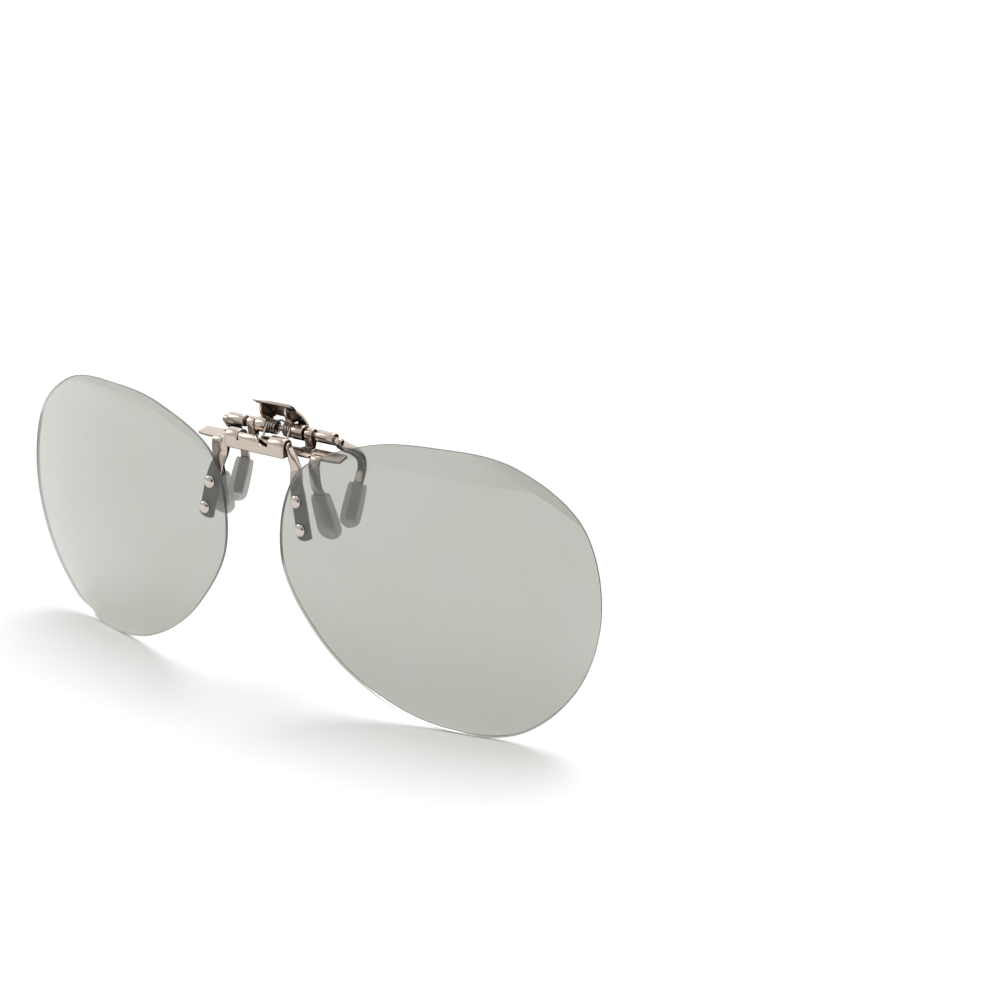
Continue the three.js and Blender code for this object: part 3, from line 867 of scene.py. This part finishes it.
def thumb_lever():
    """A channel: a curved plate with a window, a cheek along each side, a lip, two knuckles."""
    plate = ribbon(
        [
            (0, 1.15, 0.0, 10.4, SHEET),
            (0, 1.0, 1.5, 10.0, SHEET),
            (0, 0.45, 2.8, 8.8, SHEET),
            (0, -0.75, 4.1, 7.4, SHEET),
            (0, -1.9, 4.85, 8.5, SHEET),
            (0, -2.8, 5.4, 8.6, SHEET),
        ],
        steps=26,
        corner=0.16,
    )
    inner, outer = LEVER_KNUCKLE_X
    window = cut(
        plate,
        block((-2.3, 2.3), (-1, 3), (-1, 2.1)),
        block((-inner, inner), (-1, 3), (-1, 1.55)),
    )
    cheek = [(-2.0, 2.0), (-1.2, 1.5), (1.0, 1.6), (0.6, 2.7), (-0.7, 4.05), (-2.1, 4.9)]
    cheek += [(-2.42, 4.6), (-2.52, 4.2), (-2.55, 3.7), (-2.45, 3.1), (-2.25, 2.5)]
    side = [
        rolled_knuckle(LEVER_KNUCKLE_RADIUS, (inner, outer)),
        eased(prism(cheek, (2.55, 3.05), "X"), 0.1, 3),
    ]
    return merged(eased(window, 0.05), *side, *[mirrored(mesh) for mesh in side])


def spring_point(t):
    """The wire's path on one side, from the arch's middle (0) to the leg's tip (1)."""
    inner, outer = COIL_X
    arch, leg = 0.12, 0.88
    wind = min(max((t - arch) / (leg - arch), 0), 1)
    angle = math.pi / 2 + wind * 2 * math.pi * COIL_TURNS
    x = inner + (outer - inner) * wind
    y, z = COIL_RADIUS * math.cos(angle), COIL_RADIUS * math.sin(angle)
    if t < arch:
        share = t / arch
        x, y, z = inner * share, 0, COIL_RADIUS + ARCH_RISE * (1 - share**2)
    if t > leg:
        share = (t - leg) / (1 - leg)
        y -= LEG_REACH * share
        z -= LEG_FALL * share
    return Vector((x, y, z))


def half_spring():
    """One coil of the torsion spring with half the arch and its leg."""
    steps = 260
    rings = []
    side = Y_AXIS
    for k in range(steps + 1):
        t = k / steps
        ahead = (spring_point(min(t + 1e-3, 1)) - spring_point(max(t - 1e-3, 0))).normalized()
        side = (side - ahead * ahead.dot(side)).normalized()
        other = ahead.cross(side)
        centre = spring_point(t)
        circle = arc((0, 0), WIRE_RADIUS, 0, 360, 12)[:-1]
        rings.append([centre + side * a + other * b for a, b in circle])
    return loft(rings)


# ---- Assembly ----


def build_lens_unit():
    body = "lens_unit"
    shaft = moved(flip_shaft(), FLIP_AXIS)
    piece("flip_shaft_finish", shaft, body, "plated_steel", [PLATED], ["flip_shaft"])
    pair("lens", moved(lens(), FLIP_AXIS), body, "tinted_lens", [])
    pair("lens_arm", moved(lens_arm(), FLIP_AXIS), body, "plated_steel", [PLATED])
    for level, place in (("upper", UPPER_RIVET), ("lower", LOWER_RIVET)):
        shape = moved(rivet(place), FLIP_AXIS)
        pair(f"{level}_rivet", shape, body, "rivet_steel", [RIVET])


def build_front_clip():
    body = "front_clip"
    shapes = (
        ("front_clip_plate", clip_plate(), "plated_steel", PLATED),
        ("flip_hinge_housing", moved(housing(), FLIP_AXIS), "plated_steel", PLATED),
        ("flip_detent_spring", moved(detent_spring(), FLIP_AXIS), "spring_steel", SPRING),
    )
    for node, shape, slot, material in shapes:
        piece(f"{node}_finish", shape, body, slot, [material], [node])
    pair("front_sleeve", front_sleeve(), body, "silicone", [SILICONE])


def build_rear_clip():
    body = "rear_clip"
    shapes = (
        ("main_hinge_pin", hinge_pin()),
        ("thumb_lever", thumb_lever()),
    )
    for node, shape in shapes:
        shape = moved(shape, CLAMP_AXIS)
        piece(f"{node}_finish", shape, body, "plated_steel", [PLATED], [node])
    pair("rear_arm", moved(rear_arm(), CLAMP_AXIS), body, "plated_steel", [PLATED])
    pair("rear_sleeve", moved(rear_sleeve(), CLAMP_AXIS), body, "silicone", [SILICONE])


def build_torsion_spring():
    """Two mirrored halves of the torsion spring, each placed on no body; in the clamp each half
    winds up as it opens, its leg on the plate and its arch on the lever.
    """
    shape = moved(half_spring(), CLAMP_AXIS)
    for side, mesh, sign in (("left", shape, 1), ("right", mirrored(shape), -1)):
        name = f"{side}_torsion_coil"
        node = ("clamp_torsion_spring",)
        coil = piece(name, mesh, None, "spring_steel", [SPRING], node)
        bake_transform(coil)


# ---- Stage ----

FLOOR_SIZE = 6.0
CAMERA_AT = (0.194895, -0.230129, 0.093755)
CAMERA_AZIMUTH = math.radians(32.577)
CAMERA_ELEVATION = math.radians(19.074)
CAMERA_ROLL = math.radians(0.566)
CAMERA_LENS = 64.044
SENSOR = 36.0
DARK_SIDE = (0.34, -0.91, 0.24)  # a dark spot in front of the glasses, as a photographer is


def sheet_object(name, corners, material):
    mesh = bpy.data.meshes.new(name)
    mesh.from_pydata(corners, [], [tuple(range(len(corners)))])
    mesh.materials.append(material)
    made = bpy.data.objects.new(name, mesh)
    bpy.context.scene.collection.objects.link(made)
    return made


def floor(height):
    tree = material_tree("studio_floor")
    shade = tree.mix_colour(
        tree.noise(0.004, detail=2.0), rgb(0.90, 0.90, 0.90), rgb(0.93, 0.93, 0.925)
    )
    surface = tree.add("ShaderNodeBsdfDiffuse", {"Color": shade}).outputs[0]
    half = FLOOR_SIZE / 2
    corners = [(-half, -half, height), (half, -half, height), (half, half, height)]
    corners.append((-half, half, height))
    sheet_object("studio_floor", corners, tree.finish(surface))


def dark_flags():
    """Black cards behind and below the hinge, fading at their edges, seen by polished metal."""
    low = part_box("left_lens")[0].z + 0.002
    back = [(-0.3, 0.0, low), (0.5, 0.0, low), (0.5, 0.6, low), (-0.3, 0.6, low)]
    under = [(-0.024, -0.005, -0.012), (0.024, -0.005, -0.012), (0.024, 0.022, -0.006)]
    under.append((-0.024, 0.022, -0.006))
    for name, corners in (("card_behind", back), ("card_below", under)):
        tree = material_tree(name)
        along = tree.add("ShaderNodeSeparateXYZ", {0: tree.coordinates.outputs["Generated"]})
        shares = []
        for axis in "XY":
            middle = tree.maths("ABSOLUTE", tree.maths("SUBTRACT", along.outputs[axis], 0.5))
            shares.append(tree.spread(middle, 1.0, 0.0, 0.42, 0.5, smooth=True))
        solid = tree.maths("MULTIPLY", *shares)
        black = tree.add("ShaderNodeBsdfDiffuse", {"Color": rgb(0.012, 0.011, 0.01)}).outputs[0]
        clear = tree.add("ShaderNodeBsdfTransparent").outputs[0]
        card = sheet_object(name, corners, tree.finish(tree.mix_shader(solid, clear, black)))
        card.visible_camera = False
        card.visible_diffuse = False
        card.visible_shadow = False
        card.visible_transmission = False


def softbox(name, place, aim, size, power):
    lamp = bpy.data.lights.new(name, "AREA")
    lamp.shape = "RECTANGLE"
    lamp.size, lamp.size_y = size
    lamp.energy = power
    made = bpy.data.objects.new(name, lamp)
    made.location = place
    made.rotation_euler = (Vector(aim) - Vector(place)).to_track_quat("-Z", "Y").to_euler()
    bpy.context.scene.collection.objects.link(made)


def lights():
    sky = bpy.data.lights.new("overhead", "SUN")
    sky.energy = 1.9
    sky.angle = math.radians(38)
    made = bpy.data.objects.new("overhead", sky)
    made.rotation_euler = Vector((-0.05, 0.33, 1)).to_track_quat("Z", "Y").to_euler()
    bpy.context.scene.collection.objects.link(made)
    softbox("left_softbox", (-0.75, -0.35, 0.55), (0, 0, 0), (0.4, 0.5), 1.6)


def world():
    """White to the camera; a soft room that reflections see as brighter, with a dark spot."""
    tree = Tree(bpy.data.worlds.new("studio"), "ShaderNodeOutputWorld")
    bpy.context.scene.world = tree.owner
    direction = tree.coordinates.outputs["Generated"]
    split = tree.add("ShaderNodeSeparateXYZ", {0: direction}).outputs
    room = tree.spread(split["Z"], 0.27, 0.8, 0.0, 0.7)
    ahead = tree.add("ShaderNodeVectorMath", {0: direction, 1: DARK_SIDE}, operation="DOT_PRODUCT")
    spot = tree.spread(ahead.outputs["Value"], 1.0, 0.03, 0.88, 0.965, smooth=True)
    backdrop = tree.spread(split["Y"], 1.0, 1.65, -0.2, 0.4, smooth=True)
    mirrored_room = tree.maths("MULTIPLY", backdrop, spot)
    path = tree.add("ShaderNodeLightPath").outputs
    shades = []
    for level in (room, mirrored_room):
        shades.append(tree.add("ShaderNodeBackground", {"Strength": level}).outputs[0])
    shades.append(tree.add("ShaderNodeBackground", {"Color": rgb(1.0, 1.0, 1.0)}).outputs[0])
    indirect = tree.mix_shader(path["Is Glossy Ray"], shades[0], shades[1])
    tree.finish(tree.mix_shader(path["Is Camera Ray"], indirect, shades[2]))


def camera():
    data = bpy.data.cameras.new("camera")
    data.lens = CAMERA_LENS
    data.sensor_width = SENSOR
    data.clip_start, data.clip_end = 0.01, 20
    azimuth, elevation = CAMERA_AZIMUTH, CAMERA_ELEVATION
    back = Vector(
        (
            math.sin(azimuth) * math.cos(elevation),
            -math.cos(azimuth) * math.cos(elevation),
            math.sin(elevation),
        )
    )
    level = Vector((math.cos(azimuth), math.sin(azimuth), 0))
    upright = back.cross(level)
    right = math.cos(CAMERA_ROLL) * level + math.sin(CAMERA_ROLL) * upright
    up = math.cos(CAMERA_ROLL) * upright - math.sin(CAMERA_ROLL) * level
    turn = Matrix((right, up, back)).transposed().to_4x4()
    made = bpy.data.objects.new("camera", data)
    made.matrix_world = Matrix.Translation(CAMERA_AT) @ turn
    bpy.context.scene.collection.objects.link(made)
    bpy.context.scene.camera = made


build_lens_unit()
build_front_clip()
build_rear_clip()
build_torsion_spring()
floor(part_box("left_lens")[0].z)
dark_flags()
lights()
world()
camera()
bpy.context.scene.view_settings.view_transform = "Standard"
